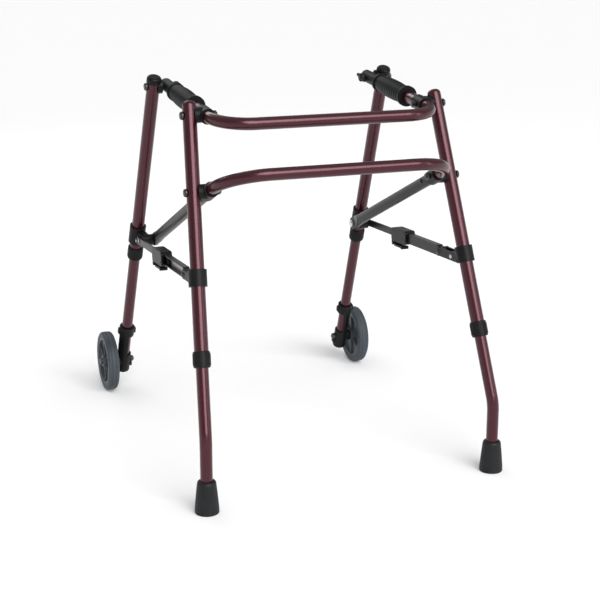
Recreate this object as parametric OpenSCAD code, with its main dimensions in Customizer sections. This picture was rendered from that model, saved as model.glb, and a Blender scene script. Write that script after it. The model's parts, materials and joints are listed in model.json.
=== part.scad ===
// Posterior walker: a folding walking frame that the user stands in front of the crossbars of.
// +X is the user's right, +Y is forward, +Z is up, and the floor is z = 0.

/* [Tubes] */
// Outside diameter of the leg tubes
leg_d = 25.4; // [24:0.1:28]
// Outside diameter of the top bar and of the back bar
bar_d = 22.2; // [19:0.1:25.4]
// Wall of every tube
tube_wall = 1.5; // [1:0.1:2]

/* [Rear legs] */
// Distance from the middle of the frame to a leg's upper pivot
leg_x = 240; // [225:1:300]
// Place of the rear legs' upper pivot, front to back
rear_pivot_y = -179.1; // [-200:0.1:-150]
// Height of the rear legs' upper pivot
rear_pivot_z = 670; // [640:1:720]
// Backward lean of the rear legs
rear_lean = 20.2; // [16:0.1:24]
// Outward splay of the rear legs
rear_splay = 4.15; // [2:0.05:6]
// Height of a rear leg's end above its upper pivot
rear_top = 26; // [18:1:30]
// Radius of the rounded end of a rear leg
rear_dome_r = 9; // [4:0.5:11]
// Height of the pivot between a rear leg and the back bar
rear_mid_z = 541; // [530:0.5:560]
// Length of a rear leg tube below its upper pivot
rear_tube_len = 440; // [420:1:460]

/* [Rear leg extensions] */
// Length of an extension that stays inside the leg tube
ext_inside = 140; // [110:1:160]
// Distance from the upper pivot to the bend above the foot
foot_bend_at = 560; // [545:1:575]
// Centre-line radius of the bend above the foot
foot_bend_r = 80; // [50:1:120]
// Diameter of a rubber tip's sole
tip_d = 43.5; // [38:0.5:50]
// Diameter of a rubber tip at its shoulder
tip_rim_d = 34; // [33:0.5:37]
// Height of a rubber tip
tip_h = 60; // [50:1:65]
// Rubber between the foot and the floor
tip_floor = 12; // [8:0.5:18]

/* [Front legs] */
// Height of the front legs' upper pivot
front_pivot_z = 692; // [680:1:740]
// Forward lean of the front legs
front_lean = 22.6; // [20:0.1:25]
// Outward splay of the front legs
front_splay = 1.6; // [0.5:0.05:2.5]
// Height of a front leg's end above its upper pivot
front_top = 17; // [15:1:22]
// Length of a front leg tube below its upper pivot
front_tube_len = 398; // [385:1:420]
// Length of a front extension inside its leg tube
front_inside = 124; // [110:1:140]
// Wall of the moulded cap on a front leg
cap_wall = 1.5; // [1.4:0.1:3]
// Distance from the upper pivot up to the cap's rim
cap_rim = 9; // [9:0.5:12]

/* [Pivots] */
// Diameter of the pivot bolts and of the axles
bolt_d = 8; // [6:0.5:9]
// Diameter of the saddles and pivot pads
pad_d = 28; // [24:0.5:32]
// Thickness of a saddle between leg and pad
saddle_t = 2.5; // [2:0.1:4]
// Depth to which a saddle wraps round its leg
saddle_wrap = 6; // [3:0.5:8]
// Wall of the moulded sleeves on the bars
sleeve_wall = 3.2; // [2.6:0.1:4]
// Length of the moulded sleeves on the bars
sleeve_len = 34; // [30:1:36]
// Thickness of a bolt head or nut
head_t = 5; // [3.5:0.5:7]
// Diameter of a bolt head
head_d = 15; // [13:0.5:18]

/* [Top bar] */
// Distance from the rear pivots back to the crossbar
top_reach_back = 86.5; // [80:0.5:110]
// Centre-line radius of the top bar's bends
top_bend_r = 66; // [50:1:68]
// Length of an arm beyond the front pivot
top_overhang = 16; // [14:1:24]
// Length of a hand grip
grip_len = 132; // [115:1:145]
// Diameter of a hand grip at its thickest
grip_d = 36; // [30:0.5:40]
// Distance from the front pivot to the grip
grip_back = 56; // [50:1:60]
// Wall of the grip's neck over the front end of the bar
neck_wall = 1.2; // [1:0.1:2]
// Length of bare bar between a grip and the sleeve behind it
arm_spare = 48.5; // [40:0.5:60]

/* [Back bar] */
// Distance from the rear pivots back to the crossbar
back_reach_back = 105; // [100:0.5:125]
// Centre-line radius of the back bar's bends
back_bend_r = 83; // [60:1:84]
// Distance from the rear pivot to the side arm
arm_start = 24; // [20:1:30]
// Length of the spigot inside a side arm
spigot_len = 36; // [24:1:50]
// Length over which a side arm is flattened
flat_len = 34; // [24:1:44]
// Thickness of a side arm's flat end
flat_t = 6; // [4:0.5:8]
// Width of a side arm's flat end
flat_w = 26; // [23:0.5:30]
// Length over which a side arm's pinched tube is closed
pinch = 2; // [1:0.5:3]

/* [Stays] */
// Distance from the middle of the frame to the stays
stay_x = 254; // [252:0.5:256]
// Height of the rear leg where the stay clamp sits
clamp_z = 399; // [390:1:410]
// Distance from the rear leg's axis to the stay's pin
strap_len = 80; // [70:1:90]
// Height of the stay clamp's middle above the stay's pin
strap_drop = 12; // [6:1:16]
// Length of the web that joins a stay clamp's straps
strap_root = 16; // [12:1:20]
// Distance from the end of a front leg tube up to the front pin
lug_up = 46; // [44:1:60]
// Distance from the front leg's axis back to the front pin
lug_out = 36; // [32:1:44]
// Width of the lug at the front pin
lug_d = 26; // [24:0.5:30]
// Length of the front bracket above its pin
ring_up = 28; // [22:1:34]
// Length of the front bracket below its pin
ring_down = 11; // [9:1:13]
// Width of the stay's channel across the frame
channel_w = 12; // [11:0.5:13]
// Height of the stay's channel
channel_h = 20; // [19:0.5:22]
// Wall of the stay's channel
channel_t = 1.6; // [1.2:0.1:2]
// Length of the stay's channel from its pin
channel_len = 177; // [168:1:186]
// Length of the latch housing
housing_len = 70; // [60:1:78]
// Length of the channel inside the latch housing
housing_lap = 26; // [20:1:30]
// Width of the latch housing across the frame
housing_w = 22; // [20:0.5:26]
// Height of the latch housing
housing_h = 28; // [26:0.5:32]
// Thickness of the stay's sliding bar
slider_t = 4; // [3:0.1:5]
// Height of the stay's sliding bar
slider_h = 14; // [12:0.5:15]
// Length of the sliding bar inside channel and housing
slider_inside = 90; // [84:1:92]
// Diameter of the stay's pins
pin_d = 7; // [5:0.5:8]
// Thickness of a lug of the stay's brackets
lug_t = 4; // [3:0.5:5]
// Wall of the clamps round the legs
clamp_wall = 4; // [3:0.5:5]
// Length of a stay clamp along its leg
clamp_len = 30; // [26:1:40]

/* [Twist collars] */
// Outside diameter of a collar without its ribs
collar_d = 30.4; // [30:0.2:34]
// Length of a collar
collar_len = 29; // [26:1:34]
// Length of a collar over the leg tube
collar_grip = 22; // [18:1:24]
// Number of ribs round a collar
collar_ribs = 16; // [8:1:24]

/* [Wheels] */
// Diameter of a wheel
wheel_d = 128; // [115:1:140]
// Width of a tyre
tyre_w = 24; // [20:0.5:30]
// Thickness of a tyre
tyre_t = 13; // [8:0.5:18]
// Width of a wheel's hub
hub_w = 26; // [25:0.5:32]
// Distance from the front leg's axis to the middle of the wheel
wheel_out = 34.5; // [33:0.5:40]
// Length of a front leg extension below the axle
ext_below = 24; // [20:1:30]
// Wall of a wheel bracket
bracket_wall = 3.5; // [2.5:0.1:5]
// Length of a wheel bracket above the axle
bracket_up = 92; // [80:1:110]
// Height of the closed rim at the top of a wheel bracket
bracket_rim = 14; // [10:1:18]

/* [Clearances] */
// Gap all round between an extension and its leg tube
slide_gap = 0.1; // [0.05:0.01:0.1]
// Gap all round between a pin and what turns on it
pin_gap = 0.05; // [0.02:0.01:0.1]
// Gap all round between pieces that are fixed together
fit_gap = 0.1; // [0.05:0.01:0.15]
// Gap between faces that pass one another
face_gap = 0.4; // [0.3:0.05:0.6]

/* [Hidden] */
$fn = 64;
left = -1;
right = 1;
wine = [0.36, 0.10, 0.14];
black = [0.09, 0.09, 0.10];
slate = [0.30, 0.34, 0.38];
silver = [0.75, 0.76, 0.78];

function unit(v) = v / norm(v);
function tilt(v) = acos(v.z);
function heading(v) = atan2(v.y, v.x);
function down_line(p, up, z) = p - up * (p.z - z) / up.z;

// Leg lines of the right side
rear_pivot = [leg_x, rear_pivot_y, rear_pivot_z];
top_len = sleeve_len / 2 + arm_spare + grip_len + grip_back;
front_pivot_y = rear_pivot_y + sqrt(pow(top_len, 2) - pow(front_pivot_z - rear_pivot_z, 2));
front_pivot = [leg_x, front_pivot_y, front_pivot_z];
rear_up = unit([-tan(rear_splay), tan(rear_lean), 1]);
front_up = unit([-tan(front_splay), -tan(front_lean), 1]);
rear_mid = down_line(rear_pivot, rear_up, rear_mid_z);
lug_at = front_pivot - front_up * (front_tube_len - lug_up);
front_pin = lug_at - [0, lug_out, 0];

// Tubes that slide in the legs
leg_bore = leg_d - 2 * tube_wall;
ext_d = leg_bore - 2 * slide_gap;
bar_bore = bar_d - 2 * tube_wall;
rear_ext_top = rear_tube_len - ext_inside;
front_ext_top = front_tube_len - front_inside;

// Layers from a leg's axis in to the bar beside it
pad_face = leg_d / 2 + saddle_t;
sleeve_face = bar_d / 2 + sleeve_wall - 0.8;
pivot_offset = pad_face + face_gap + sleeve_face;
top_bar_x = leg_x - pivot_offset;
back_bar_x = rear_mid.x - pivot_offset;

// Top bar and back bar, seen from the side
top_rise = atan2(front_pivot_z - rear_pivot_z, front_pivot_y - rear_pivot_y);
arm_rise = atan2(front_pin.z - rear_mid.z, front_pin.y - rear_mid.y);
arm_len = norm([front_pin.y - rear_mid.y, front_pin.z - rear_mid.z]);
spigot_d = bar_bore - 2 * fit_gap;

// Stay, seen from the side
clamp_at = down_line(rear_pivot, rear_up, clamp_z);
stay_rear = [stay_x, clamp_at.y + strap_len, clamp_at.z - strap_drop];
stay_front = [stay_x, front_pin.y, front_pin.z];
stay_rise = atan2(stay_front.z - stay_rear.z, stay_front.y - stay_rear.y);
stay_len = norm([stay_front.y - stay_rear.y, stay_front.z - stay_rear.z]);
stay_eye_d = channel_h - 4;
housing_from = channel_len - housing_lap;
housing_to = housing_from + housing_len;
slider_from = housing_to - slider_inside;
latch_pin = [housing_to - 6, -housing_h / 2 - 4];
latch_pin_d = 4;
latch_len = 36;

// Foot and wheel
foot_turn = tilt(rear_up);
foot_local = [foot_bend_r * (1 - cos(foot_turn)), 0, -foot_bend_at - foot_bend_r * sin(foot_turn)];
foot_top = rear_pivot + turned(foot_local, rear_up);
axle = down_line(front_pivot, front_up, wheel_d / 2);
wheel_x = axle.x + wheel_out;
hub_in = wheel_x - hub_w / 2;
hub_out = wheel_x + hub_w / 2;
front_ext_end = (front_pivot.z - axle.z) / front_up.z + ext_below;
bracket_d = ext_d + 2 * bracket_wall;
foot_lap = 2;

// Turns a point of a leg's own frame into the walker's directions
function turned(p, up) = let (t = tilt(up), h = heading(up),
    q = [p.x * cos(t) + p.z * sin(t), p.y, -p.x * sin(t) + p.z * cos(t)])
    [q.x * cos(h) - q.y * sin(h), q.x * sin(h) + q.y * cos(h), q.z];

// Everything is drawn for the right side and mirrored for the left
module on_side(side) {
    if (side > 0) children();
    else mirror([1, 0, 0]) children();
}

// A leg's own frame: its upper pivot is the origin and +Z runs up the tube
module along(p, up) {
    translate(p) rotate([0, tilt(up), heading(up)]) children();
}

module along_rear() { along(rear_pivot, rear_up) children(); }

module along_front() { along(front_pivot, front_up) children(); }

// Frames of the bars and the stay: +Y runs forward along the piece
module top_frame() { translate([0, rear_pivot_y, rear_pivot_z]) rotate([top_rise, 0, 0]) children(); }

module back_frame() { translate([0, rear_mid.y, rear_mid.z]) rotate([arm_rise, 0, 0]) children(); }

module stay_frame() { translate(stay_rear) rotate([stay_rise, 0, 0]) children(); }

// Cylinder across the frame, from x0 to x1 at the height and depth of p
module across(p, x0, x1, d) {
    translate([x0, p.y, p.z]) rotate([0, 90, 0]) cylinder(d = d, h = x1 - x0);
}

// Cylinder along +Y from y0 to y1
module lengthwise(x, y0, y1, d) {
    translate([x, y0, 0]) rotate([-90, 0, 0]) cylinder(d = d, h = y1 - y0);
}

// Flat piece across the frame, drawn in (y, z) and as thick as x1 - x0
module plate(x0, x1) {
    translate([x0, 0, 0]) rotate([90, 0, 90]) linear_extrude(x1 - x0) children();
}

// Round bar with one rounded end, drawn upward
module domed(d, h, r) {
    rotate_extrude() {
        square([d / 2, h - r]);
        square([d / 2 - r, h]);
        translate([d / 2 - r, h - r]) intersection() {
            circle(r);
            square(r);
        }
    }
}

module rounded_square(w, h, r) {
    translate([r, 0]) square([w - 2 * r, h]);
    translate([0, r]) square([w, h - 2 * r]);
    for (x = [r, w - r], y = [r, h - r]) translate([x, y]) circle(r);
}

// A bar bent into a U: crossbar behind, two bends and two arms that run forward
module u_rod(half_x, back, r, reach, d) {
    translate([-(half_x - r), -back, 0]) rotate([0, 90, 0]) cylinder(d = d, h = 2 * (half_x - r));
    for (s = [left, right]) {
        translate([s * (half_x - r), r - back, 0]) rotate([0, 0, s > 0 ? -90 : 180])
            rotate_extrude(angle = 90) translate([r, 0]) circle(d = d);
        lengthwise(s * half_x, r - back, reach, d);
    }
}

// Moulded saddle that fits the inner side of a leg and gives the pivot a flat face
module leg_saddle(p, up) {
    difference() {
        across(p, p.x - pad_face, p.x - leg_d / 2 + saddle_wrap, pad_d);
        along(p, up) cylinder(d = leg_d + 2 * fit_gap, h = 4 * pad_d, center = true);
        across(p, p.x - 2 * pad_d, p.x + 2 * pad_d, bolt_d + 2 * fit_gap);
    }
}

// Bolt through a leg and the bar beside it, with a domed head outside and a nut inside
module pivot_bolt(p, head_x, nut_x) {
    across(p, nut_x - head_t - 2, head_x + 1, bolt_d);
    translate([head_x, p.y, p.z]) rotate([0, 90, 0]) domed(head_d, head_t, head_t - 1.5);
    translate([nut_x - head_t, p.y, p.z]) rotate([0, 90, 0]) cylinder(d = head_d - 1, h = head_t, $fn = 6);
}

// Moulded sleeve on a bar, cut flat where it turns against the leg's saddle
module bar_sleeve(x) {
    difference() {
        union() {
            lengthwise(x, -sleeve_len / 2, sleeve_len / 2, bar_d + 2 * sleeve_wall);
            across([0, 0, 0], x, x + sleeve_face, pad_d);
        }
        lengthwise(x, -sleeve_len, sleeve_len, bar_d + 2 * fit_gap);
        translate([x + sleeve_face, -sleeve_len, -pad_d]) cube([pad_d, 2 * sleeve_len, 2 * pad_d]);
        across([0, 0, 0], x - pad_d, x + pad_d, bolt_d + 2 * pin_gap);
    }
}

// Twist collar on the end of a leg tube, whose end is this far down the leg
module twist_collar(tube_len) {
    rib_d = 2.4;
    translate([0, 0, collar_grip - tube_len]) difference() {
        union() {
            translate([0, 0, -collar_len]) cylinder(d = collar_d, h = collar_len);
            for (i = [0 : collar_ribs - 1]) rotate(i * 360 / collar_ribs)
                translate([collar_d / 2, 0, 3 - collar_len]) cylinder(d = rib_d, h = collar_len - 6);
        }
        translate([0, 0, -collar_grip - face_gap]) cylinder(d = leg_d + 2 * slide_gap, h = collar_len);
        translate([0, 0, -2 * collar_len]) cylinder(d = ext_d + 2 * slide_gap, h = 3 * collar_len);
    }
}

module rear_leg(side) {
    color(wine) on_side(side) difference() {
        along_rear() {
            translate([0, 0, -rear_tube_len]) domed(leg_d, rear_tube_len + rear_top, rear_dome_r);
        }
        along_rear() translate([0, 0, -rear_tube_len - 1])
            cylinder(d = leg_bore, h = rear_tube_len + rear_top - rear_dome_r);
        for (p = [rear_pivot, rear_mid]) across(p, p.x - leg_d, p.x + leg_d, bolt_d + 2 * fit_gap);
    }
}

module rear_saddle_top(side) { color(black) on_side(side) leg_saddle(rear_pivot, rear_up); }

module rear_saddle_mid(side) { color(black) on_side(side) leg_saddle(rear_mid, rear_up); }

module rear_bolt_top(side) {
    color(silver) on_side(side) pivot_bolt(rear_pivot, leg_x + leg_d / 2 + face_gap,
        top_bar_x - bar_d / 2 - sleeve_wall - face_gap);
}

module rear_bolt_mid(side) {
    color(silver) on_side(side) pivot_bolt(rear_mid, rear_mid.x + leg_d / 2 + face_gap,
        back_bar_x - bar_d / 2 - sleeve_wall - face_gap);
}

// Clamp on the rear leg with a strap on each side of the stay's channel, and a pin through them
module stay_clamp(side) {
    strap_in = channel_w / 2 + face_gap;
    strap_out = strap_in + lug_t;
    root = leg_d / 2 + clamp_wall + strap_root;
    color(black) on_side(side) difference() {
        union() {
            along(clamp_at, rear_up)
                cylinder(d = leg_d + 2 * clamp_wall, h = clamp_len, center = true);
            stay_frame() {
                for (x = [-strap_out, strap_in]) plate(x, x + lug_t) {
                    translate([-strap_len, -stay_eye_d / 2]) square([strap_len, stay_eye_d]);
                    circle(d = stay_eye_d + 2);
                }
                plate(-strap_out, strap_out) translate([-strap_len, -stay_eye_d / 2])
                    square([root, stay_eye_d]);
                across([0, 0, 0], -strap_out - 2, strap_out + 2, pin_d);
            }
        }
        along(clamp_at, rear_up) cylinder(d = leg_d + 2 * fit_gap, h = 3 * clamp_len, center = true);
    }
}

module rear_collar(side) { color(black) on_side(side) along_rear() twist_collar(rear_tube_len); }

// Solid form of the extension: straight run, bend, and an upright end for the tip
module rear_ext_rod(d, more) {
    along_rear() {
        translate([0, 0, -foot_bend_at]) cylinder(d = d, h = foot_bend_at - rear_ext_top + more);
        translate([foot_bend_r, 0, -foot_bend_at]) rotate([90, 0, 0]) rotate(180)
            rotate_extrude(angle = foot_turn) translate([foot_bend_r, 0]) circle(d = d);
    }
    translate([foot_top.x, foot_top.y, tip_floor + fit_gap - more])
        cylinder(d = d - 2 * fit_gap, h = foot_top.z - tip_floor - fit_gap + more + foot_lap);
}

module rear_ext(side) {
    color(wine) on_side(side) difference() {
        rear_ext_rod(ext_d, 0);
        rear_ext_rod(ext_d - 2 * tube_wall, 1);
    }
}

// Rubber tip: a bell with a rounded shoulder that widens to a broad sole
module rear_tip(side) {
    shoulder = 5;
    lip_h = 9;
    color(black) on_side(side) translate([foot_top.x, foot_top.y, 0]) rotate_extrude() difference() {
        union() {
            polygon([[0, 0], [tip_d / 2 - 1.5, 0], [tip_d / 2, 1.5], [tip_d / 2, lip_h],
                [tip_rim_d / 2, tip_h - shoulder], [0, tip_h - shoulder]]);
            square([tip_rim_d / 2 - shoulder, tip_h]);
            translate([tip_rim_d / 2 - shoulder, tip_h - shoulder]) intersection() {
                circle(shoulder);
                square(shoulder);
            }
        }
        translate([0, tip_floor]) square([ext_d / 2 + fit_gap, tip_h]);
    }
}

// Top bar: rear crossbar and the two handle arms, one bent tube with closed front ends
module top_bar() {
    color(wine) top_frame() difference() {
        u_rod(top_bar_x, top_reach_back, top_bend_r, top_len + top_overhang, bar_d);
        u_rod(top_bar_x, top_reach_back, top_bend_r, top_len + top_overhang - tube_wall, bar_bore);
        for (s = [left, right], y = [0, top_len]) translate([s * top_bar_x, y, 0]) rotate([0, 90, 0])
            cylinder(d = bolt_d + 2 * pin_gap, h = 2 * bar_d, center = true);
    }
}

module top_sleeve(side) { color(black) on_side(side) top_frame() bar_sleeve(top_bar_x); }

// Hand grip: a swelling barrel with a palm flange behind, and a thin neck that closes the bar's front end
module grip(side) {
    shank_r = grip_d / 2 - 2.5;
    neck_len = grip_back + 4 + top_overhang + neck_wall;
    color(black) on_side(side) top_frame() translate([top_bar_x, top_len, 0]) difference() {
        union() {
            translate([0, -grip_back, 0]) rotate([90, 0, 0]) rotate_extrude() {
                square([shank_r, grip_len]);
                square([grip_d / 2, 6]);
                translate([0, grip_len - 6]) square([grip_d / 2 + 2, 6]);
                intersection() {
                    translate([grip_d / 2 - 4 * grip_len, grip_len / 2]) circle(4 * grip_len, $fn = 256);
                    translate([0, 4]) square([grip_d, grip_len - 8]);
                }
            }
            translate([0, -grip_back - 4, 0]) rotate([-90, 0, 0]) domed(bar_d + 2 * neck_wall, neck_len, 3);
        }
        lengthwise(0, -grip_back - grip_len - 1, top_overhang + fit_gap, bar_d + 2 * fit_gap);
        across([0, 0, 0], -bar_d, bar_d, bolt_d + 2 * pin_gap);
    }
}

module front_leg(side) {
    color(wine) on_side(side) difference() {
        along_front() translate([0, 0, -front_tube_len]) cylinder(d = leg_d, h = front_tube_len + front_top);
        along_front() translate([0, 0, -front_tube_len - 1])
            cylinder(d = leg_bore, h = front_tube_len + front_top + 2);
        across(front_pivot, leg_x - leg_d, leg_x + leg_d, bolt_d + 2 * fit_gap);
    }
}

// Moulded cap on the front leg, with a saddle below it that stands off the top bar's arm
module front_cap(side) {
    neck_face = top_bar_x + bar_d / 2 + neck_wall;
    cap_h = front_top + fit_gap + cap_wall + 3 - cap_rim;
    color(black) on_side(side) difference() {
        union() {
            along_front() translate([0, 0, cap_rim]) domed(leg_d + 2 * cap_wall, cap_h, 6);
            across(front_pivot, neck_face + face_gap, leg_x - leg_d / 2 + saddle_wrap, pad_d);
        }
        along_front() translate([0, 0, -2 * pad_d])
            cylinder(d = leg_d + 2 * fit_gap, h = 2 * pad_d + front_top + fit_gap);
        across(front_pivot, leg_x - 2 * leg_d, leg_x + 2 * leg_d, bolt_d + 2 * fit_gap);
    }
}

knob_face = top_bar_x - bar_d / 2 - neck_wall - face_gap;
knob_len = 9;

module front_bolt(side) {
    head_x = leg_x + leg_d / 2 + face_gap;
    color(silver) on_side(side) {
        across(front_pivot, knob_face - knob_len + 4, head_x + 1, bolt_d);
        translate([head_x, front_pivot.y, front_pivot.z]) rotate([0, 90, 0])
            domed(head_d, head_t, head_t - 1.5);
    }
}

// Two-winged knob on the inner end of the front pivot bolt
module wing_knob(side) {
    hub_d = 17;
    wing_len = 14;
    wing_w = 7;
    color(black) on_side(side) translate([knob_face, front_pivot.y, front_pivot.z]) rotate([0, -90, 0])
        difference() {
            union() {
                domed(hub_d, knob_len, 3);
                for (a = [75, 255]) rotate(a) translate([hub_d / 2 - 3, 0, knob_len / 2]) rotate([90, 0, 0])
                    translate([0, 0, -2.5]) linear_extrude(5) {
                        translate([0, -wing_w / 2]) square([wing_len - wing_w / 2, wing_w]);
                        translate([wing_len - wing_w / 2, 0]) circle(d = wing_w);
                    }
            }
            translate([0, 0, -1]) cylinder(d = bolt_d + 2 * pin_gap, h = knob_len - 2);
        }
}

// Bracket on the front leg: behind it one lug takes the side arm inside and the stay outside
module front_bracket(side) {
    lug_in = lug_at.x - leg_d / 2 - clamp_wall / 2;
    color(black) on_side(side) difference() {
        union() {
            along(lug_at, front_up) translate([0, 0, -ring_down])
                cylinder(d = leg_d + 2 * clamp_wall, h = ring_down + ring_up);
            plate(lug_in, stay_x - slider_t / 2 - face_gap) translate([front_pin.y, front_pin.z]) {
                circle(d = lug_d);
                translate([0, -lug_d / 2]) square([lug_out, lug_d]);
            }
            across(front_pin, back_bar_x + flat_t / 2 + face_gap, lug_in + clamp_wall, lug_d - 3);
        }
        along(lug_at, front_up) cylinder(d = leg_d + 2 * fit_gap, h = 8 * lug_d, center = true);
    }
}

module front_collar(side) { color(black) on_side(side) along_front() twist_collar(front_tube_len); }

module front_ext(side) {
    color(wine) on_side(side) difference() {
        along_front() translate([0, 0, -front_ext_end]) cylinder(d = ext_d, h = front_ext_end - front_ext_top);
        along_front() translate([0, 0, -front_ext_end - 1])
            cylinder(d = ext_d - 2 * tube_wall, h = front_ext_end - front_ext_top + 2);
        across(axle, axle.x - ext_d, axle.x + ext_d, bolt_d + 2 * fit_gap);
    }
}

// Moulded bracket round the extension's end, open on the inner side above the axle
module wheel_bracket(side) {
    floor_t = 4;
    window_from = 18;
    window_to = bracket_up - bracket_rim;
    color(black) on_side(side) difference() {
        union() {
            along(axle, front_up) translate([0, 0, bracket_up]) mirror([0, 0, 1])
                domed(bracket_d, bracket_up + ext_below + fit_gap + floor_t, 3);
            across(axle, axle.x, hub_in - face_gap, bracket_d - 4);
        }
        along(axle, front_up) {
            translate([0, 0, -ext_below - fit_gap])
                cylinder(d = ext_d + 2 * fit_gap, h = bracket_up + 2 * ext_below);
            rotate(180 - heading(front_up)) translate([3, -bracket_d, window_from])
                cube([bracket_d, 2 * bracket_d, window_to - window_from]);
        }
        across(axle, axle.x - bracket_d, axle.x + 2 * bracket_d, bolt_d + 2 * fit_gap);
    }
}

module axle(side) {
    color(silver) on_side(side) pivot_bolt(axle, hub_out + face_gap, axle.x - bracket_d / 2 - face_gap);
}

rim_r = wheel_d / 2 - tyre_t;

// Moulded wheel: hub, dished disc with ribs, and the rim under the tyre
module wheel_hub(side) {
    boss_r = 13;
    disc_t = 8;
    rim_t = 5;
    rib_t = 4;
    ribs = 6;
    color(slate) on_side(side) translate([wheel_x, axle.y, axle.z]) rotate([0, 90, 0]) {
        difference() {
            union() {
                cylinder(r = boss_r, h = hub_w, center = true);
                cylinder(r = rim_r - fit_gap, h = disc_t, center = true);
                difference() {
                    cylinder(r = rim_r - fit_gap, h = tyre_w - 2, center = true);
                    cylinder(r = rim_r - rim_t, h = tyre_w, center = true);
                }
                for (i = [0 : ribs - 1]) rotate(i * 360 / ribs) translate([boss_r - 2, -rib_t / 2, -hub_w / 2 + 4])
                    cube([rim_r - rim_t - boss_r + 3, rib_t, hub_w - 8]);
            }
            cylinder(d = bolt_d + 2 * pin_gap, h = 2 * hub_w, center = true);
        }
    }
}

module tyre(side) {
    edge_r = min(6, tyre_t / 2);
    color(slate) on_side(side) translate([wheel_x, axle.y, axle.z]) rotate([0, 90, 0]) rotate_extrude() {
        translate([rim_r, -tyre_w / 2]) square([tyre_t - edge_r, tyre_w]);
        translate([rim_r, edge_r - tyre_w / 2]) square([tyre_t, tyre_w - 2 * edge_r]);
        for (z = [edge_r - tyre_w / 2, tyre_w / 2 - edge_r]) translate([wheel_d / 2 - edge_r, z]) circle(edge_r);
    }
}

// Back bar: crossbar and bends, with a spigot at each end for the side arms
module back_bar() {
    web = 6;
    color(wine) back_frame() difference() {
        union() {
            u_rod(back_bar_x, back_reach_back, back_bend_r, arm_start, bar_d);
            for (s = [left, right]) lengthwise(s * back_bar_x, arm_start, arm_start + spigot_len, spigot_d);
        }
        u_rod(back_bar_x, back_reach_back, back_bend_r, arm_start - web, bar_bore);
        for (s = [left, right]) {
            lengthwise(s * back_bar_x, arm_start, arm_start + spigot_len + 1, spigot_d - 2 * tube_wall);
            across([0, 0, 0], s * back_bar_x - bar_d, s * back_bar_x + bar_d, bolt_d + 2 * pin_gap);
        }
    }
}

module back_sleeve(side) { color(black) on_side(side) back_frame() bar_sleeve(back_bar_x); }

// Side arm: tube over the back bar's spigot, pressed flat at its front end
module side_arm(side) {
    round_end = arm_len - flat_w / 2 - 2;
    flat_start = round_end - flat_len;
    tube_from = arm_start + fit_gap;
    color(black) on_side(side) back_frame() difference() {
        union() {
            lengthwise(back_bar_x, tube_from, flat_start, bar_d);
            lengthwise(back_bar_x, flat_start - pinch, flat_start + pinch, bar_bore);
            intersection() {
                translate([back_bar_x, flat_start, 0]) rotate([-90, 0, 0])
                    cylinder(d1 = bar_d, d2 = flat_w, h = flat_len);
                translate([0, 0, -flat_w]) linear_extrude(2 * flat_w) polygon([
                    [back_bar_x - bar_d / 2, flat_start], [back_bar_x + bar_d / 2, flat_start],
                    [back_bar_x + flat_t / 2, round_end], [back_bar_x - flat_t / 2, round_end]]);
            }
            plate(back_bar_x - flat_t / 2, back_bar_x + flat_t / 2) {
                translate([round_end, -flat_w / 2]) square([arm_len - round_end, flat_w]);
                translate([round_end - pinch, -flat_w / 3]) square([2 * pinch, flat_w * 2 / 3]);
                translate([arm_len, 0]) circle(d = flat_w);
            }
        }
        lengthwise(back_bar_x, 0, flat_start - pinch, bar_bore);
        across([0, arm_len, 0], back_bar_x - bar_d, back_bar_x + bar_d, bolt_d + 2 * fit_gap);
    }
}

// Rivet in the flat end of a side arm
module arm_rivet(side) {
    color(silver) on_side(side) back_frame() translate([back_bar_x + flat_t / 2, arm_len, 0]) rotate([0, -90, 0]) {
        cylinder(d = bolt_d, h = flat_t + 1);
        translate([0, 0, flat_t + fit_gap]) domed(head_d, head_t, head_t - 1.5);
    }
}

// Stay channel: open on its outer side, with an eye on the clamp's pin
module stay_channel(side) {
    neck = 16;
    half_w = channel_w / 2;
    color(black) on_side(side) stay_frame() difference() {
        union() {
            across([0, 0, 0], -half_w, half_w, stay_eye_d);
            translate([-half_w, 0, -stay_eye_d / 2]) cube([channel_w, neck, stay_eye_d]);
            difference() {
                translate([-half_w, neck - 2, -channel_h / 2]) cube([channel_w, channel_len - neck + 2, channel_h]);
                translate([channel_t - half_w, neck, channel_t - channel_h / 2])
                    cube([channel_w, channel_len, channel_h - 2 * channel_t]);
            }
        }
        across([0, 0, 0], -channel_w, channel_w, pin_d + 2 * pin_gap);
    }
}

// Latch housing on the mouth of the channel, with a slot for the sliding bar
module stay_housing(side) {
    ear_t = 3;
    pocket = channel_len - housing_from + fit_gap;
    color(black) on_side(side) stay_frame() difference() {
        union() {
            translate([0, housing_from, -housing_h / 2]) plate(-housing_w / 2, housing_w / 2)
                rounded_square(housing_len, housing_h, 7);
            for (x = [-housing_w / 2, housing_w / 2 - ear_t]) plate(x, x + ear_t) {
                translate(latch_pin) circle(d = latch_pin_d + 5);
                translate([latch_pin.x - latch_pin_d / 2 - 2.5, latch_pin.y])
                    square([latch_pin_d + 5, 3 + housing_h / 4]);
            }
        }
        translate([-channel_w / 2 - fit_gap, housing_from - 1, -channel_h / 2 - fit_gap])
            cube([channel_w + 2 * fit_gap, pocket + 1, channel_h + 2 * fit_gap]);
        translate([-slider_t / 2 - face_gap, housing_from, -slider_h / 2 - face_gap])
            cube([slider_t + 2 * face_gap, 2 * housing_len, slider_h + 2 * face_gap]);
        across([0, latch_pin.x, latch_pin.y], -housing_w, housing_w, latch_pin_d + 2 * pin_gap);
    }
}

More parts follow.
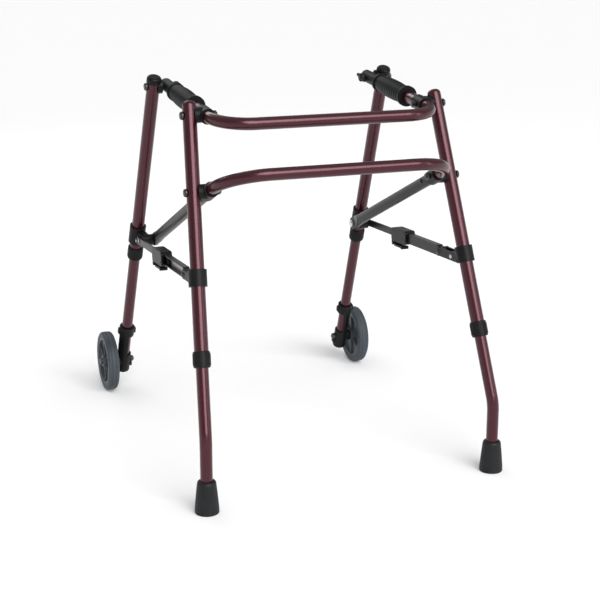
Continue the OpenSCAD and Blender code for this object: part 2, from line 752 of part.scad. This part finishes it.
// Thumb latch under the housing, on a cross pin between the housing's ears
module stay_latch(side) {
    inner_w = housing_w - 6 - 2 * face_gap;
    blade = 4;
    color(black) on_side(side) stay_frame() translate([0, latch_pin.x, latch_pin.y]) {
        across([0, 0, 0], -housing_w / 2, housing_w / 2, latch_pin_d);
        plate(-inner_w / 2, inner_w / 2) {
            circle(d = latch_pin_d + 2);
            translate([-latch_len, -blade - 3]) square([latch_len, blade]);
            translate([-latch_len, -blade - 1.5]) circle(d = blade + 3);
            translate([-3, -4]) square([6, 4]);
        }
    }
}

// Sliding bar of the stay: flat steel with a riveted eye at the front leg
module stay_bar(side) {
    color(silver) on_side(side) stay_frame() {
        plate(-slider_t / 2, slider_t / 2) {
            translate([slider_from, -slider_h / 2]) square([stay_len - slider_from, slider_h]);
            translate([stay_len, 0]) circle(d = stay_eye_d + 2);
        }
        translate([slider_t / 2, stay_len, 0]) rotate([0, 90, 0]) domed(pin_d + 5, 4, 2);
    }
}

rear_leg(right);  // rear_leg_r
rear_leg(left);  // rear_leg_l
rear_saddle_top(right);  // rear_saddle_top_r
rear_saddle_top(left);  // rear_saddle_top_l
rear_saddle_mid(right);  // rear_saddle_mid_r
rear_saddle_mid(left);  // rear_saddle_mid_l
rear_bolt_top(right);  // rear_bolt_top_r
rear_bolt_top(left);  // rear_bolt_top_l
rear_bolt_mid(right);  // rear_bolt_mid_r
rear_bolt_mid(left);  // rear_bolt_mid_l
stay_clamp(right);  // stay_clamp_r
stay_clamp(left);  // stay_clamp_l
rear_collar(right);  // rear_collar_r
rear_collar(left);  // rear_collar_l
rear_ext(right);  // rear_ext_r
rear_ext(left);  // rear_ext_l
rear_tip(right);  // rear_tip_r
rear_tip(left);  // rear_tip_l
top_bar();
top_sleeve(right);  // top_sleeve_r
top_sleeve(left);  // top_sleeve_l
grip(right);  // grip_r
grip(left);  // grip_l
front_leg(right);  // front_leg_r
front_leg(left);  // front_leg_l
front_cap(right);  // front_cap_r
front_cap(left);  // front_cap_l
front_bolt(right);  // front_bolt_r
front_bolt(left);  // front_bolt_l
front_bracket(right);  // front_bracket_r
front_bracket(left);  // front_bracket_l
wing_knob(right);  // wing_knob_r
wing_knob(left);  // wing_knob_l
front_collar(right);  // front_collar_r
front_collar(left);  // front_collar_l
front_ext(right);  // front_ext_r
front_ext(left);  // front_ext_l
wheel_bracket(right);  // wheel_bracket_r
wheel_bracket(left);  // wheel_bracket_l
axle(right);  // axle_r
axle(left);  // axle_l
wheel_hub(right);  // wheel_hub_r
wheel_hub(left);  // wheel_hub_l
tyre(right);  // tyre_r
tyre(left);  // tyre_l
back_bar();
back_sleeve(right);  // back_sleeve_r
back_sleeve(left);  // back_sleeve_l
side_arm(right);  // side_arm_r
side_arm(left);  // side_arm_l
arm_rivet(right);  // arm_rivet_r
arm_rivet(left);  // arm_rivet_l
stay_channel(right);  // stay_channel_r
stay_channel(left);  // stay_channel_l
stay_housing(right);  // stay_housing_r
stay_housing(left);  // stay_housing_l
stay_latch(right);  // stay_latch_r
stay_latch(left);  // stay_latch_l
stay_bar(right);  // stay_bar_r
stay_bar(left);  // stay_bar_l
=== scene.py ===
import bmesh
import bpy
import json
import math
from mathutils import Matrix, Vector


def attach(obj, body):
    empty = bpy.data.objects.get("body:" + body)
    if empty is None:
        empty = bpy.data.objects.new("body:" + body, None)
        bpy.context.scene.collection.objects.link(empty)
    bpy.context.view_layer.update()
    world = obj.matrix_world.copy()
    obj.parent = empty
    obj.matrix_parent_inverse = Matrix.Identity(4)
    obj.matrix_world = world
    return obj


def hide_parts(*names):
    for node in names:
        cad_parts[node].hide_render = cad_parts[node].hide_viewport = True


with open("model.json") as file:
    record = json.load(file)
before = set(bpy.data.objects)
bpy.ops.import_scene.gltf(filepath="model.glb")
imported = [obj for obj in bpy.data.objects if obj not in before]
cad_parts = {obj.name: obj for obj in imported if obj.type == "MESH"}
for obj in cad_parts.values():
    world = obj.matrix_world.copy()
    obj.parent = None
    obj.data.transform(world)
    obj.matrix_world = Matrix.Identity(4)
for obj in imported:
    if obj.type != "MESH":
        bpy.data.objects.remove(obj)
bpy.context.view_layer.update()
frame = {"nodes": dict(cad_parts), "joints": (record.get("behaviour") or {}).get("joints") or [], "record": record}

# Studio: a wide pale floor that runs into a white horizon, under a pale sky with a dim patch above the
# horizon behind the set, which keeps the edges of the tubes dark. A large soft light stands far behind
# the camera, with a narrow fill and an edge light.
floor_half = 40
floor_mesh = bpy.data.meshes.new("floor")
floor_form = bmesh.new()
bmesh.ops.create_grid(floor_form, x_segments=1, y_segments=1, size=floor_half)
floor_form.to_mesh(floor_mesh)
floor_form.free()
floor = bpy.data.objects.new("floor", floor_mesh)
bpy.context.scene.collection.objects.link(floor)
floor_paint = bpy.data.materials.new("pale_floor")
floor_paint.use_nodes = True
floor_shader = floor_paint.node_tree.nodes["Principled BSDF"]
floor_shader.inputs["Base Color"].default_value = (0.93, 0.93, 0.935, 1)
floor_shader.inputs["Roughness"].default_value = 0.9
floor_shader.inputs["Specular IOR Level"].default_value = 0.1
floor_shader.inputs["Emission Color"].default_value = (1.0, 1.0, 1.0, 1)
floor_shader.inputs["Emission Strength"].default_value = 0.06
floor_mesh.materials.append(floor_paint)

overhead_white = (1, 1, 1, 1)
horizon_white = (1.85, 1.85, 1.85, 1)
patch_pale = (0.72, 0.72, 0.74, 1)
patch_dim = (0.10, 0.10, 0.11, 1)
sky_strength = 0.55
world = bpy.data.worlds.new("studio")
world.use_nodes = True
sky = world.node_tree
sky_way = sky.nodes.new("ShaderNodeTexCoord")
sky_split = sky.nodes.new("ShaderNodeSeparateXYZ")
sky.links.new(sky_way.outputs["Generated"], sky_split.inputs["Vector"])


def sky_blend(axis, low, high, near, far):
    """A blend from near to far as an axis of the sky's direction goes from low to high."""
    share = sky.nodes.new("ShaderNodeMapRange")
    share.inputs["From Min"].default_value = low
    share.inputs["From Max"].default_value = high
    sky.links.new(sky_split.outputs[axis], share.inputs["Value"])
    blend = sky.nodes.new("ShaderNodeMix")
    blend.data_type = "RGBA"
    sky.links.new(share.outputs["Result"], blend.inputs["Factor"])
    for end, value in (("A", near), ("B", far)):
        if isinstance(value, tuple):
            blend.inputs[end].default_value = value
        else:
            sky.links.new(value, blend.inputs[end])
    return blend.outputs["Result"]


dim_patch = sky_blend("Y", 0.0, 0.9, patch_pale, patch_dim)
horizon = sky_blend("Z", 0.10, 0.22, horizon_white, dim_patch)
whole_sky = sky_blend("Z", 0.2, 0.85, horizon, overhead_white)
sky.links.new(whole_sky, sky.nodes["Background"].inputs["Color"])
sky.nodes["Background"].inputs["Strength"].default_value = sky_strength
bpy.context.scene.world = world
bpy.context.scene.view_settings.view_transform = "Standard"

camera_place = Vector((-0.916, -2.5751, 1.0245))
camera_turn = math.radians(20.25)
camera_dip = math.radians(15.6)
lens_in_pixels = 1407.2
photo_pixels = 600
camera_data = bpy.data.cameras.new("camera")
camera_data.sensor_width = 36
camera_data.lens = camera_data.sensor_width * lens_in_pixels / photo_pixels
camera = bpy.data.objects.new("camera", camera_data)
bpy.context.scene.collection.objects.link(camera)
look = Vector((math.sin(camera_turn) * math.cos(camera_dip), math.cos(camera_turn) * math.cos(camera_dip),
               -math.sin(camera_dip)))
camera.location = camera_place
camera.rotation_euler = look.to_track_quat("-Z", "Y").to_euler()
bpy.context.scene.camera = camera

key_power = 2.7
key_spread = math.radians(46)
key_way = Vector((-0.12, 0.80, -0.58))
set_middle = (0, 0, 0.4)


def lamp(name, place, size, power):
    """A rectangular lamp that faces the middle of the set."""
    data = bpy.data.lights.new(name, "AREA")
    data.shape = "RECTANGLE"
    data.size, data.size_y = size
    data.energy = power
    obj = bpy.data.objects.new(name, data)
    bpy.context.scene.collection.objects.link(obj)
    obj.location = place
    obj.rotation_euler = (Vector(set_middle) - Vector(place)).to_track_quat("-Z", "Y").to_euler()


key_data = bpy.data.lights.new("key_lamp", "SUN")
key_data.energy = key_power
key_data.angle = key_spread
key = bpy.data.objects.new("key_lamp", key_data)
bpy.context.scene.collection.objects.link(key)
key.rotation_euler = key_way.to_track_quat("-Z", "Y").to_euler()
lamp("fill_lamp", (2.4, -2.2, 1.5), size=(0.4, 2.0), power=10)
lamp("edge_lamp", (-0.6, 2.6, 2.4), size=(2.4, 0.6), power=16)

# Rear legs: drawn aluminium tube with closed, rounded tops, under a burgundy lacquer with fine metal
# flake. They are the fixed part of the frame, and the bars turn on bolts through them.
sides = (("r", 1), ("l", -1))
flake_scale = 2600


def finish(name, tone, shade, patch, grain, rough, spread, bump, metal=0.0, coat=0.0, shine=0.25,
           tint=(1, 1, 1), edge=0.0005, worn=None, flake=None):
    """A finish whose colour drifts between two tones, with grain, soft edges, worn corners and flakes."""
    mat = bpy.data.materials.new(name)
    mat.use_nodes = True
    nodes, links = mat.node_tree.nodes, mat.node_tree.links

    def stretch(source, low, high, to_low=0.0, to_high=1.0):
        """Maps a value from one range to another."""
        node = nodes.new("ShaderNodeMapRange")
        ends = (("From Min", low), ("From Max", high), ("To Min", to_low), ("To Max", to_high))
        for socket, value in ends:
            node.inputs[socket].default_value = value
        links.new(source, node.inputs["Value"])
        return node.outputs["Result"]

    def lay_over(share, under, over):
        """Lays a colour over another one by a share."""
        node = nodes.new("ShaderNodeMix")
        node.data_type = "RGBA"
        node.inputs["B"].default_value = (*over, 1)
        links.new(share, node.inputs["Factor"])
        links.new(under, node.inputs["A"])
        return node.outputs["Result"]

    def noise(scale, detail):
        node = nodes.new("ShaderNodeTexNoise")
        node.inputs["Scale"].default_value = scale
        node.inputs["Detail"].default_value = detail
        links.new(place.outputs["Object"], node.inputs["Vector"])
        return node.outputs["Fac"]

    shader = nodes["Principled BSDF"]
    shader.inputs["Metallic"].default_value = metal
    shader.inputs["Specular IOR Level"].default_value = shine
    shader.inputs["Specular Tint"].default_value = (*tint, 1)
    shader.inputs["Coat Weight"].default_value = coat
    shader.inputs["Coat Roughness"].default_value = 0.08
    place = nodes.new("ShaderNodeTexCoord")
    drift = noise(patch, 4)
    tones = nodes.new("ShaderNodeValToRGB")
    tones.color_ramp.elements[0].position = 0.3
    tones.color_ramp.elements[0].color = (*shade, 1)
    tones.color_ramp.elements[1].position = 0.7
    tones.color_ramp.elements[1].color = (*tone, 1)
    links.new(drift, tones.inputs["Fac"])
    fine = noise(grain, 3)
    links.new(stretch(fine, 0.0, 1.0, rough - spread, rough + spread), shader.inputs["Roughness"])
    soft = nodes.new("ShaderNodeBevel")
    soft.samples = 4
    soft.inputs["Radius"].default_value = edge
    lift = nodes.new("ShaderNodeBump")
    lift.inputs["Strength"].default_value = bump
    lift.inputs["Distance"].default_value = 0.0004
    links.new(fine, lift.inputs["Height"])
    links.new(soft.outputs["Normal"], lift.inputs["Normal"])
    links.new(lift.outputs["Normal"], shader.inputs["Normal"])
    colour = tones.outputs["Color"]
    if worn:
        shape = nodes.new("ShaderNodeNewGeometry")
        facing = nodes.new("ShaderNodeVectorMath")
        facing.operation = "DOT_PRODUCT"
        links.new(soft.outputs["Normal"], facing.inputs[0])
        links.new(shape.outputs["Normal"], facing.inputs[1])
        patchy = nodes.new("ShaderNodeMath")
        patchy.operation = "MULTIPLY"
        links.new(stretch(facing.outputs["Value"], 0.995, 0.86), patchy.inputs[0])
        links.new(drift, patchy.inputs[1])
        colour = lay_over(patchy.outputs["Value"], colour, worn)
    if flake:
        cells = nodes.new("ShaderNodeTexVoronoi")
        cells.inputs["Scale"].default_value = flake_scale
        links.new(place.outputs["Object"], cells.inputs["Vector"])
        colour = lay_over(stretch(cells.outputs["Color"], 0.72, 0.95), colour, flake)
    links.new(colour, shader.inputs["Base Color"])
    return mat


def dress(mat, *names):
    """Gives a finish to CAD nodes, on both sides where a name stands for a pair."""
    for name in names:
        nodes = [name] if name in frame["nodes"] else [f"{name}_{side}" for side, _ in sides]
        for node in nodes:
            mesh = frame["nodes"][node].data
            mesh.materials.clear()
            mesh.materials.append(mat)


lacquer = finish("burgundy_lacquer", (0.020, 0.0011, 0.003), (0.013, 0.0007, 0.002), patch=9, grain=900,
                 rough=0.24, spread=0.05, bump=0.05, coat=0.08, shine=0.75, tint=(1.0, 0.52, 0.60),
                 flake=(0.07, 0.010, 0.017))
dress(lacquer, "rear_leg")

# Saddles and pivot bolts: black nylon pads that fit the legs and give the bars a flat face to turn on,
# with blackened steel bolts that have domed heads outside and nuts inside.
nylon = finish("black_nylon", (0.0085, 0.009, 0.0095), (0.005, 0.005, 0.0055), patch=30, grain=1400,
               rough=0.38, spread=0.08, bump=0.2, shine=0.15, edge=0.0008, worn=(0.035, 0.035, 0.036))
steel = finish("dark_steel", (0.10, 0.10, 0.105), (0.06, 0.06, 0.065), patch=60, grain=1500,
               rough=0.35, spread=0.08, bump=0.1, metal=1.0)
dress(nylon, "rear_saddle_top", "rear_saddle_mid")
dress(steel, "rear_bolt_top", "rear_bolt_mid")

# Twist collars: black nylon rings with rows of grip ribs, turned by hand to lock the extension in the
# leg tube. The lower lip is drawn in to the smaller tube. Sizes are in millimetres.
joints = {joint["name"]: joint for joint in frame["joints"]}
collar_bore = 12.8
neck_bore = 11.2
neck_len = 6.6
collar_r = 15.2
collar_len = 29
rim_chamfer = 0.8
top_chamfer = 1.2
foot_chamfer = 1.5
neck_chamfer = 0.6
collar_steps = 80
steps_per_rib = 5
raised_steps = 3
rib_height = 0.9
rib_taper = 0.97
rib_end = 4
band_slack = 0.2


def lathe(rings, steps=64, closed=False):
    """A turned form about +Z from (radius, height) rings in millimetres."""
    form = bmesh.new()
    verts = [form.verts.new((radius / 1000, 0, height / 1000)) for radius, height in rings]
    edges = [form.edges.new(pair) for pair in zip(verts, verts[1:])]
    if closed:
        edges.append(form.edges.new((verts[-1], verts[0])))
    bmesh.ops.spin(form, geom=verts + edges, axis=(0, 0, 1), cent=(0, 0, 0), angle=2 * math.pi, steps=steps,
                   use_merge=True)
    bmesh.ops.remove_doubles(form, verts=form.verts, dist=1e-6)
    return form


def settle(form, name, where, mat, body, slot, *nodes, crease=35):
    """Puts a form in its place, as a piece that moves with a body and may stand for CAD nodes."""
    bmesh.ops.transform(form, matrix=where, verts=form.verts)
    bmesh.ops.recalc_face_normals(form, faces=form.faces)
    mesh = bpy.data.meshes.new(name)
    form.to_mesh(mesh)
    form.free()
    mesh.polygons.foreach_set("use_smooth", [True] * len(mesh.polygons))
    mesh.set_sharp_from_angle(angle=math.radians(crease))
    mesh.materials.append(mat)
    piece = bpy.data.objects.new(name, mesh)
    bpy.context.scene.collection.objects.link(piece)
    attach(piece, body)
    if nodes:
        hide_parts(*nodes)


def upright(place, axis, toward=(0, 0, 1)):
    """The frame at a place whose +Z runs along axis and whose +X leans toward a direction."""
    z = Vector(axis).normalized()
    x = Vector(toward) - z * Vector(toward).dot(z)
    if x.length < 1e-4:
        x = Vector((0, 1, 0))
    x.normalize()
    y = z.cross(x)
    turn = Matrix((x, y, z)).transposed().to_4x4()
    return Matrix.Translation(Vector(place)) @ turn


def twist_collar(leg, side):
    """The collar at the lower end of a leg tube, with ribs raised from its band."""
    half = collar_len / 2
    form = lathe([(collar_bore, half - rim_chamfer), (collar_bore + rim_chamfer, half),
                  (collar_r - top_chamfer, half), (collar_r, half - top_chamfer),
                  (collar_r, half - rib_end), (collar_r, rib_end - half),
                  (collar_r, foot_chamfer - half), (collar_r - foot_chamfer, -half),
                  (neck_bore + neck_chamfer, -half), (neck_bore, neck_chamfer - half),
                  (neck_bore, neck_len - half), (collar_bore, neck_len - half)], collar_steps, closed=True)
    band = []
    for face in form.faces:
        middle = face.calc_center_median()
        out = math.hypot(middle.x, middle.y) * 1000
        if out > collar_r - band_slack and abs(middle.z) * 1000 < half - rib_end:
            turn = math.atan2(middle.y, middle.x) % (2 * math.pi)
            if int(turn / (2 * math.pi) * collar_steps) % steps_per_rib < raised_steps:
                band.append(face)
    raised = bmesh.ops.extrude_face_region(form, geom=band)
    bmesh.ops.delete(form, geom=band, context="FACES")
    grow = 1 + rib_height / collar_r
    for vert in raised["geom"]:
        if isinstance(vert, bmesh.types.BMVert):
            vert.co.x *= grow
            vert.co.y *= grow
            vert.co.z *= rib_taper
    joint = joints[f"{leg}_collar_twist_{side}"]
    node = f"{leg}_collar_{side}"
    settle(form, f"{leg}_collar_ring_{side}", upright(joint["pos_m"], joint["axis"]), nylon, node, "moulding",
           node, crease=28)


for side, _ in sides:
    twist_collar("rear", side)

# Rear extensions and rubber tips: the thinner tube slides in the leg and bends upright at the foot,
# where a moulded rubber bell with a grooved sole is pushed on.
dress(lacquer, "rear_ext")
rubber = finish("black_rubber", (0.011, 0.012, 0.0135), (0.007, 0.0075, 0.0085), patch=40, grain=1600,
                rough=0.45, spread=0.08, bump=0.25)
mounts = {mount["name"]: mount for mount in frame["record"]["mounts"]}
tip_steps = 144
tip_flutes = 24
flute_depth = 0.35
flute_low, flute_high = 0.0085, 0.048
tip_wall_r = 16
tip_profile = [(0, 1.5), (6, 1.5), (6.6, 0), (11, 0), (11.6, 1.5), (14.9, 1.5), (15.5, 0), (20.8, 0),
               (21.75, 1.2), (21.75, 3.8), (21.2, 4.4), (21.2, 5.6), (21.75, 6.2), (21.75, 9), (20.9, 18),
               (19.8, 30), (18.6, 42), (17.2, 54), (16.6, 57), (14.9, 59.2), (12.4, 60), (11.3, 59.6),
               (11.3, 40), (0, 40)]
for side, _ in sides:
    tip = lathe(tip_profile, tip_steps)
    for vert in tip.verts:
        out = math.hypot(vert.co.x, vert.co.y) * 1000
        if flute_low < vert.co.z < flute_high and out > tip_wall_r:
            wave = 1 + math.cos(tip_flutes * math.atan2(vert.co.y, vert.co.x))
            press = 1 - flute_depth / out * wave
            vert.co.x *= press
            vert.co.y *= press
    settle(tip, f"rear_tip_bell_{side}", upright(mounts[f"sole_{side}"]["pos_m"], (0, 0, 1)), rubber,
           f"rear_ext_{side}", "tip", f"rear_tip_{side}")

# Top bar: one bent tube with a moulded sleeve at each pivot. A rubber grip with fine ridges covers
# the arm up to its front end and closes it with a thin neck over the pivot.
dress(lacquer, "top_bar")
dress(nylon, "top_sleeve")
fold = Vector(joints["fold"]["pos_m"])
front_pivot = Vector(joints["front_leg_pivot"]["pos_m"])
arm_line = (front_pivot - fold).normalized()
top_arm_x = 0.2109
grip_back = 0.056
grip_len = 132
grip_r = 18
grip_margin = 9
grip_steps = 72
swell_flatness = 8
most_taper = 2.5
ridge_count = 14
ridge_steps = 6
ridge_rise = 0.25
ridge_half = 0.35
ridge_root = 3.5
grip_rubber = finish("grip_rubber", (0.0095, 0.0105, 0.011), (0.006, 0.0065, 0.007), patch=50, grain=1300,
                     rough=0.45, spread=0.1, bump=0.3, shine=0.12)
dress(grip_rubber, "grip")
first, last = grip_margin, grip_len - grip_margin
ridge_profile = []
for i in range(ridge_count * ridge_steps + 1):
    height = first + (last - first) * i / (ridge_count * ridge_steps)
    swell = grip_r - (height - grip_len / 2) ** 2 / (swell_flatness * grip_len)
    wave = ridge_half * (1 - math.cos(2 * math.pi * i / ridge_steps))
    ridge_profile.append((max(swell, grip_r - most_taper) + ridge_rise + wave, height))
ridge_profile += [(grip_r - ridge_root, last), (grip_r - ridge_root, first)]
for side, sign in sides:
    start = front_pivot - arm_line * grip_back
    start.x = sign * top_arm_x
    settle(lathe(ridge_profile, grip_steps, closed=True), f"grip_ridges_{side}", upright(start, -arm_line),
           grip_rubber, "top_bar", "grip", crease=60)

# Front legs: lacquered tube under a moulded cap, with the pivot bolt through both. A winged knob on the
# inner end of the bolt clamps the leg to the top bar.
dress(lacquer, "front_leg")
dress(nylon, "front_cap", "front_bracket")
dress(steel, "front_bolt")
knob_face = 0.1982
knob_profile = [(0, 6), (4.05, 6), (4.05, 0), (8.2, 0), (8.5, 0.4), (8.5, 6), (7.8, 7.8), (6.4, 8.8), (4, 9),
                (0, 9)]
knob_steps = 48
wing_size = (14, 5, 7)
wing_turns = (75, 255)
wing_middle = (0.0125, 0, 0.0045)
wing_end_round = 0.003
wing_rim_round = 0.0012
rim_angle = 1.2


def round_edges(form, part, edges, radius, segments):
    """Rounds some edges of a part of a form and returns the part's vertices."""
    made = bmesh.ops.bevel(form, geom=edges, offset=radius, offset_type="OFFSET", segments=segments,
                           profile=0.5, affect="EDGES", material=-1)
    return list({v for v in part if v.is_valid} | set(made["verts"]))


def edges_of(part):
    return list({e for v in part for e in v.link_edges})


def cuboid(form, size):
    """Adds a plain block, sized in millimetres and centred on the origin."""
    part = bmesh.ops.create_cube(form, size=0.001)["verts"]
    bmesh.ops.scale(form, vec=size, verts=part)
    return part


for side, sign in sides:
    knob = lathe(knob_profile, knob_steps)
    for turn in wing_turns:
        wing = cuboid(knob, wing_size)
        ends = [e for e in edges_of(wing)
                if all(v.co.x > 0 for v in e.verts) and abs(e.verts[0].co.y - e.verts[1].co.y) > 0.001]
        wing = round_edges(knob, wing, ends, wing_end_round, segments=6)
        rims = [e for e in edges_of(wing) if e.calc_face_angle(0) > rim_angle]
        wing = round_edges(knob, wing, rims, wing_rim_round, segments=3)
        root = Matrix.Rotation(math.radians(turn), 4, "Z") @ Matrix.Translation(wing_middle)
        bmesh.ops.transform(knob, matrix=root, verts=wing)
    place = Vector((sign * knob_face, front_pivot.y, front_pivot.z))
    settle(knob, f"wing_knob_grip_{side}", upright(place, (-sign, 0, 0)), nylon, f"wing_knob_{side}",
           "moulding", f"wing_knob_{side}")
    twist_collar("front", side)

# Wheels: slate grey moulded discs with ribs and a solid rubber tyre, on a steel axle bolt through a
# black nylon bracket that holds the end of the front extension, with a clamp band and ears at its top.
dress(lacquer, "front_ext")
dress(nylon, "wheel_bracket")
dress(steel, "axle")
slate = finish("slate_rubber", (0.060, 0.072, 0.082), (0.040, 0.049, 0.057), patch=26, grain=1500,
               rough=0.5, spread=0.08, bump=0.2)
slate_disc = finish("slate_disc", (0.066, 0.079, 0.092), (0.050, 0.060, 0.070), patch=20, grain=1200,
                    rough=0.36, spread=0.06, bump=0.12)
rim_r = 51
tyre_steps = 128
tread_profile = [(rim_r, -11), (rim_r + 1.5, -11.6), (57, -12), (60, -11.6), (62.4, -10), (63.6, -7.6),
                 (63.9, -5), (63.1, -4.5), (63.1, -3.7), (64, -3.2), (64, 3.2), (63.1, 3.7), (63.1, 4.5),
                 (63.9, 5), (63.6, 7.6), (62.4, 10), (60, 11.6), (57, 12), (rim_r + 1.5, 11.6), (rim_r, 11)]
disc_profile = [(4.05, -13), (11, -13), (12.6, -12), (13, -10.5), (13.4, -5.5), (15, -4), (42, -4),
                (45.2, -5), (46, -7), (46.4, -10.6), (47.2, -11), (50, -11), (50.8, -10.4), (50.8, 10.4),
                (50, 11), (47.2, 11), (46.4, 10.6), (46, 7), (45.2, 5), (42, 4), (15, 4), (13.4, 5.5),
                (13, 10.5), (12.6, 12), (11, 13), (4.05, 13)]
disc_steps = 96
wheel_ribs = 6
rib_size = (35, 3.6, 17)
rib_middle = (29.5, 0, 0)
rib_round = 0.9
wheel_out = 0.0345
band_up = 0.0815
band_profile = [(14.4, -11), (15.4, -11), (16.2, -10), (16.2, 10), (15.4, 11), (14.4, 11)]
band_round = 1.4
ear_size = (6, 9, 13)
ear_out = 16.2
lug_size = (7, 12, 10)
lug_in = 15
lug_down = 93


def block(form, size, shift, radius):
    """Adds a block with rounded edges, sized in millimetres and centred on shift."""
    part = cuboid(form, size)
    part = round_edges(form, part, edges_of(part), radius / 1000, segments=3)
    bmesh.ops.translate(form, vec=Vector(shift) / 1000, verts=part)
    return part


for side, sign in sides:
    axle_place = Vector(joints[f"wheel_roll_{side}"]["pos_m"])
    axle_frame = upright(axle_place, (sign, 0, 0))
    settle(lathe(tread_profile, tyre_steps, closed=True), f"tyre_ring_{side}", axle_frame, slate,
           f"wheel_{side}", "tyre", f"tyre_{side}", crease=40)
    disc = lathe(disc_profile, disc_steps, closed=True)
    for i in range(wheel_ribs):
        rib = block(disc, rib_size, rib_middle, rib_round)
        turn = Matrix.Rotation(2 * math.pi * i / wheel_ribs, 3, "Z")
        bmesh.ops.rotate(disc, cent=(0, 0, 0), matrix=turn, verts=rib)
    settle(disc, f"wheel_disc_{side}", axle_frame, slate_disc, f"wheel_{side}", "wheel", f"wheel_hub_{side}")
    leg_up = -Vector(joints[f"front_extension_{side}"]["axis"])
    band_place = axle_place - Vector((sign * wheel_out, 0, 0)) + leg_up * band_up
    band = lathe(band_profile, closed=True)
    for way in (-1, 1):
        block(band, ear_size, (way * ear_out, 0, 0), band_round)
    block(band, lug_size, (-sign * lug_in, 0, -lug_down), band_round)
    settle(band, f"bracket_band_{side}", upright(band_place, leg_up, (1, 0, 0)), nylon, f"front_ext_{side}",
           "moulding")

# Back bar and side arms: the crossbar is lacquered like the legs; the arms are black tube over its
# spigots, held by a rivet, and pressed flat where they meet the front brackets.
dress(lacquer, "back_bar")
dress(nylon, "back_sleeve")
satin = finish("black_satin", (0.014, 0.014, 0.0145), (0.009, 0.009, 0.0095), patch=14, grain=1000,
               rough=0.3, spread=0.06, bump=0.06, shine=0.16)
zinc = finish("zinc_plate", (0.70, 0.71, 0.72), (0.52, 0.53, 0.54), patch=60, grain=1800,
              rough=0.28, spread=0.08, bump=0.1, metal=1.0)
dress(satin, "side_arm")
dress(zinc, "arm_rivet")
back_pivot = Vector(joints["back_bar_pivot"]["pos_m"])
back_arm_x = 0.22026
stay_len = 0.37201
joint_rivet_along = 0.042
joint_rivet_out = 0.0110
joint_rivet = (4.6, 2.6)
dome_profile = [(0, 1), (0.4, 0.93), (0.75, 0.66), (0.95, 0.28)]
head_sink = 0.3
head_steps = 32


def on_stay(side, along, up=0.0, out=0.0):
    """A place on a stay in metres: along it from its rear pin, above its axis and out to its side."""
    way = -Vector(joints[f"stay_slide_{side}"]["axis"])
    above = Vector((0, -way.z, way.y))
    beside = Vector((1 if side == "r" else -1, 0, 0))
    return Vector(joints[f"stay_pivot_{side}"]["pos_m"]) + way * along + above * up + beside * out


def rivet_head(name, place, axis, size, body, mat):
    """A domed head with its (radius, height) in millimetres."""
    radius, height = size
    dome = [(radius * out, height * up) for out, up in dome_profile]
    form = lathe(dome + [(radius, -head_sink), (0, -head_sink)], head_steps)
    settle(form, name, upright(place, axis), mat, body, "bolt")


for side, sign in sides:
    arm_way = on_stay(side, stay_len) - back_pivot
    arm_way.x = 0
    spot = back_pivot + arm_way.normalized() * joint_rivet_along
    spot.x = sign * back_arm_x
    for face, way in (("in", -sign), ("out", sign)):
        rivet_head(f"arm_joint_rivet_{face}_{side}", spot + Vector((way * joint_rivet_out, 0, 0)),
                   (way, 0, 0), joint_rivet, "back_bar", satin)

# Stays: a pressed channel that opens outward, a nylon latch housing on its mouth and a flat bar that
# slides in it. Bar and channel are blacked outside and rubbed bright where they run on one another.
dress(nylon, "stay_clamp", "stay_housing", "stay_latch")
dress(satin, "stay_channel", "stay_bar")
bright = finish("rubbed_metal", (0.62, 0.62, 0.62), (0.45, 0.45, 0.46), patch=40, grain=900,
                rough=0.5, spread=0.1, bump=0.1, metal=0.6)
track_size = (0.4, 132, 16.2)
track_round = 0.1
track_along, track_out = 0.084, -0.0041
strap_half = 0.0104
clamp_screw_along = -0.054
clamp_screw = (4.2, 2.4)
stay_pin = (5.6, 3.2)
housing_half = 0.011
latch_pin_along, latch_pin_up = 0.215, -0.018
latch_pin = (2.8, 1.2)
housing_screw_along, housing_screw_up = 0.160, 0.007
housing_screw = (2.6, 1.0)
stay_rivet_out = 0.002
stay_rivet = (6.4, 4.5)
for side, sign in sides:
    stay, latch = f"stay_{side}", f"stay_latch_{side}"
    liner = bmesh.new()
    block(liner, track_size, (0, 0, 0), track_round)
    level = -Vector(joints[f"stay_slide_{side}"]["axis"])
    turn = Matrix.Rotation(math.atan2(level.z, level.y), 4, "X")
    place = on_stay(side, track_along, out=track_out)
    settle(liner, f"channel_track_{side}", Matrix.Translation(place) @ turn, bright, stay, "slider")
    for face, way in (("in", -1), ("out", 1)):
        axis = (way * sign, 0, 0)
        strap, wall = way * strap_half, way * housing_half
        rivet_head(f"clamp_screw_{face}_{side}", on_stay(side, clamp_screw_along, out=strap), axis,
                   clamp_screw, "rear_frame", zinc)
        rivet_head(f"stay_pin_{face}_{side}", on_stay(side, 0, out=strap), axis,
                   stay_pin, "rear_frame", steel)
        rivet_head(f"latch_pin_{face}_{side}", on_stay(side, latch_pin_along, latch_pin_up, wall), axis,
                   latch_pin, latch, steel)
        for i, up in enumerate((-housing_screw_up, housing_screw_up)):
            rivet_head(f"housing_screw_{face}_{i}_{side}", on_stay(side, housing_screw_along, up, wall), axis,
                       housing_screw, stay, steel)
    rivet_head(f"stay_rivet_{side}", on_stay(side, stay_len, out=stay_rivet_out), (sign, 0, 0), stay_rivet,
               f"stay_bar_{side}", zinc)
